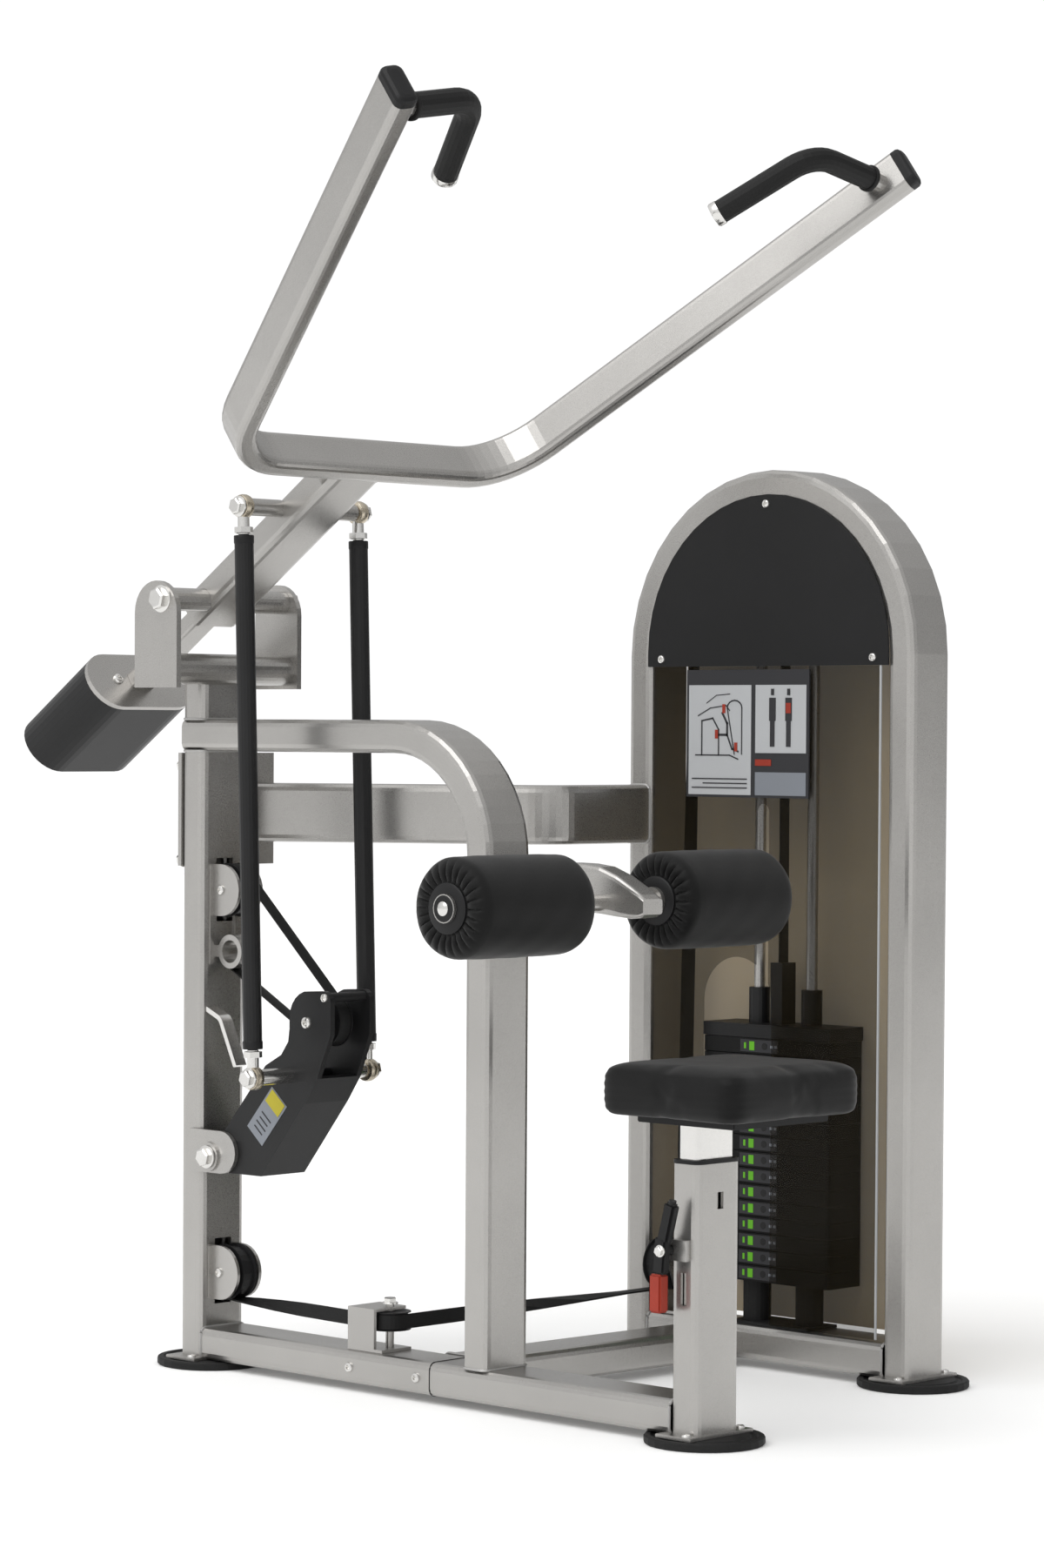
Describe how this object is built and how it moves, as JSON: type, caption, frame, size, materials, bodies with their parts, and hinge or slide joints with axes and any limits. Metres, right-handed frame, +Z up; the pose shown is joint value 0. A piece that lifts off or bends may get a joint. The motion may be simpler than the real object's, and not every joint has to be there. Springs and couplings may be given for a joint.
{
  "type": "lat pulldown machine",
  "caption": "Plate-stack lat pulldown machine: tube frame, counterbalanced overhead U-arm on a four-bar linkage, belt drive, shrouded weight tower, roller thigh pads and seat.",
  "frame": {"origin": "bottom centre of the whole machine's box, on the floor", "axes": "+Z up; +Y the way the seated user faces, towards the column; +X towards the weight tower"},
  "size_m": [1.3682, 1.6988, 2.0416],
  "materials": {
    "frame_silver": "satin silver powder coat",
    "bright_steel": "bright plated steel",
    "black_steel": "black powder coat",
    "rubber": "moulded black rubber",
    "black_plastic": "moulded black plastic",
    "smoked_plastic": "smoked translucent sheet",
    "vinyl": "black upholstery vinyl over foam",
    "belt": "flat reinforced drive belt",
    "placard": "printed plastic panel"
  },
  "bodies": {
    "frame": {"base_rail": "frame_silver", "cross_rail": "frame_silver", "tower_base_rail": "frame_silver", "foot_column": "rubber", "foot_seat": "rubber", "foot_tower_near": "rubber", "foot_tower_far": "rubber", "column": "frame_silver", "arch_tube": "frame_silver", "link_tube": "frame_silver", "seat_post": "frame_silver", "tower_frame": "frame_silver", "pivot_clevis": "frame_silver", "pivot_shaft": "frame_silver", "pulley_bracket_upper": "frame_silver", "pulley_bracket_lower": "frame_silver", "lever_bracket": "frame_silver", "lever_stop": "bright_steel", "swivel_bracket": "frame_silver", "tower_pulley_bracket": "frame_silver", "top_pulley_bracket": "frame_silver", "guide_rod_far": "bright_steel", "guide_rod_near": "bright_steel", "stack_base": "rubber", "rod_top_bar": "frame_silver", "plates_resting": "black_steel", "front_shroud": "smoked_plastic", "top_cover": "black_plastic", "rear_shroud": "smoked_plastic", "placard": "placard", "lever_belt": "belt", "main_belt": "belt", "stack_belt": "belt", "thigh_arm": "frame_silver"},
    "arm": {"arm_beam": "frame_silver", "handle_tube": "frame_silver", "counterweight": "black_steel", "counterweight_plate": "frame_silver", "end_cap_left": "black_plastic", "end_cap_right": "black_plastic", "handle_grip_left": "rubber", "handle_grip_right": "rubber"},
    "pushrod_left": {"pushrod_left": "black_steel"},
    "pushrod_right": {"pushrod_right": "black_steel"},
    "lever": {"lever_arm": "black_steel"},
    "pulley_lever": {"pulley_lever": "black_plastic"},
    "pulley_column_upper": {"pulley_column_upper": "black_plastic"},
    "pulley_column_lower": {"pulley_column_lower": "black_plastic"},
    "pulley_swivel": {"pulley_swivel": "black_plastic"},
    "pulley_tower_low": {"pulley_tower_low": "black_plastic"},
    "pulley_top_far": {"pulley_top_far": "black_plastic"},
    "pulley_top_near": {"pulley_top_near": "black_plastic"},
    "stack": {"stack_carriage": "black_steel", "plates_lifted": "black_steel"},
    "selector_pin": {"selector_pin": "bright_steel"},
    "roller_pad_left": {"roller_pad_left": "vinyl"},
    "roller_pad_right": {"roller_pad_right": "vinyl"},
    "seat": {"seat_cushion": "vinyl", "seat_inner_tube": "bright_steel"},
    "seat_lever": {"seat_lever": "black_steel"}
  },
  "joints": [
    {"name": "arm_pivot", "type": "hinge", "parent": "frame", "child": "arm", "pos_m": [-0.07991, 0.43309, 1.306], "axis": [1, 0, 0], "range_deg": [0, 50]},
    {"name": "pushrod_left_top", "type": "hinge", "parent": "arm", "child": "pushrod_left", "pos_m": [-0.21191, 0.24509, 1.455], "axis": [1, 0, 0], "range_deg": [-50, 0]},
    {"name": "pushrod_right_top", "type": "hinge", "parent": "arm", "child": "pushrod_right", "pos_m": [0.0521, 0.24509, 1.455], "axis": [1, 0, 0], "range_deg": [-50, 0]},
    {"name": "lever_pivot", "type": "hinge", "parent": "frame", "child": "lever", "pos_m": [-0.07991, 0.40309, 0.363], "axis": [1, 0, 0], "range_deg": [0, 50], "deforming": ["lever_belt"]},
    {"name": "stack_lift", "type": "slide", "parent": "frame", "child": "stack", "axis": [0, 0, 1], "range_m": [0, 0.507], "deforming": ["stack_belt"]},
    {"name": "pin_pull", "type": "slide", "parent": "stack", "child": "selector_pin", "axis": [-1, 0, 0], "range_m": [0, 0.06]},
    {"name": "lever_pulley_spin", "type": "hinge", "parent": "lever", "child": "pulley_lever", "pos_m": [-0.07991, 0.17309, 0.602], "axis": [1, 0, 0], "range_deg": [-356.7, 1]},
    {"name": "column_upper_spin", "type": "hinge", "parent": "frame", "child": "pulley_column_upper", "pos_m": [-0.07991, 0.40909, 0.814], "axis": [1, 0, 0], "range_deg": [-1, 679.7]},
    {"name": "column_lower_spin", "type": "hinge", "parent": "frame", "child": "pulley_column_lower", "pos_m": [-0.07991, 0.41009, 0.162], "axis": [1, 0, 0], "range_deg": [-1, 649.4]},
    {"name": "swivel_spin", "type": "hinge", "parent": "frame", "child": "pulley_swivel", "pos_m": [-0.07191, 0.03309, 0.117], "axis": [0, 0, 1], "range_deg": [-914.5, 1]},
    {"name": "tower_low_spin", "type": "hinge", "parent": "frame", "child": "pulley_tower_low", "pos_m": [0.53009, -0.04191, 0.165], "axis": [0, 1, 0], "range_deg": [-1, 696]},
    {"name": "top_far_spin", "type": "hinge", "parent": "frame", "child": "pulley_top_far", "pos_m": [0.59059, -0.09361, 1.35], "axis": [1, 0, 0], "range_deg": [-621.7, 1]},
    {"name": "top_near_spin", "type": "hinge", "parent": "frame", "child": "pulley_top_near", "pos_m": [0.59059, -0.20321, 1.35], "axis": [1, 0, 0], "range_deg": [-621.7, 1]},
    {"name": "roller_left_spin", "type": "hinge", "parent": "frame", "child": "roller_pad_left", "pos_m": [-0.31491, -0.45691, 0.821], "axis": [1, 0, 0], "continuous": true},
    {"name": "roller_right_spin", "type": "hinge", "parent": "frame", "child": "roller_pad_right", "pos_m": [0.15509, -0.45691, 0.821], "axis": [1, 0, 0], "continuous": true},
    {"name": "seat_height", "type": "slide", "parent": "frame", "child": "seat", "axis": [0, 0, 1], "range_m": [0, 0.12]},
    {"name": "seat_lever_pull", "type": "hinge", "parent": "frame", "child": "seat_lever", "pos_m": [-0.15791, -0.64191, 0.3], "axis": [1, 0, 0], "range_deg": [0, 18], "stiffness_Nm_per_rad": 2}
  ],
  "couplings": [
    {"joint": "pushrod_left_top", "follows": "arm_pivot", "ratio": -1},
    {"joint": "pushrod_right_top", "follows": "arm_pivot", "ratio": -1},
    {"joint": "lever_pivot", "follows": "arm_pivot", "ratio": 1},
    {"joint": "stack_lift", "follows": "arm_pivot", "m_per_rad": 0.58092},
    {"joint": "lever_pulley_spin", "follows": "arm_pivot", "ratio": -7.1146},
    {"joint": "column_upper_spin", "follows": "arm_pivot", "ratio": 13.574},
    {"joint": "column_lower_spin", "follows": "arm_pivot", "ratio": 12.968},
    {"joint": "swivel_spin", "follows": "arm_pivot", "ratio": -18.27},
    {"joint": "tower_low_spin", "follows": "arm_pivot", "ratio": 13.899},
    {"joint": "top_far_spin", "follows": "arm_pivot", "ratio": -12.414},
    {"joint": "top_near_spin", "follows": "arm_pivot", "ratio": -12.414}
  ]
}
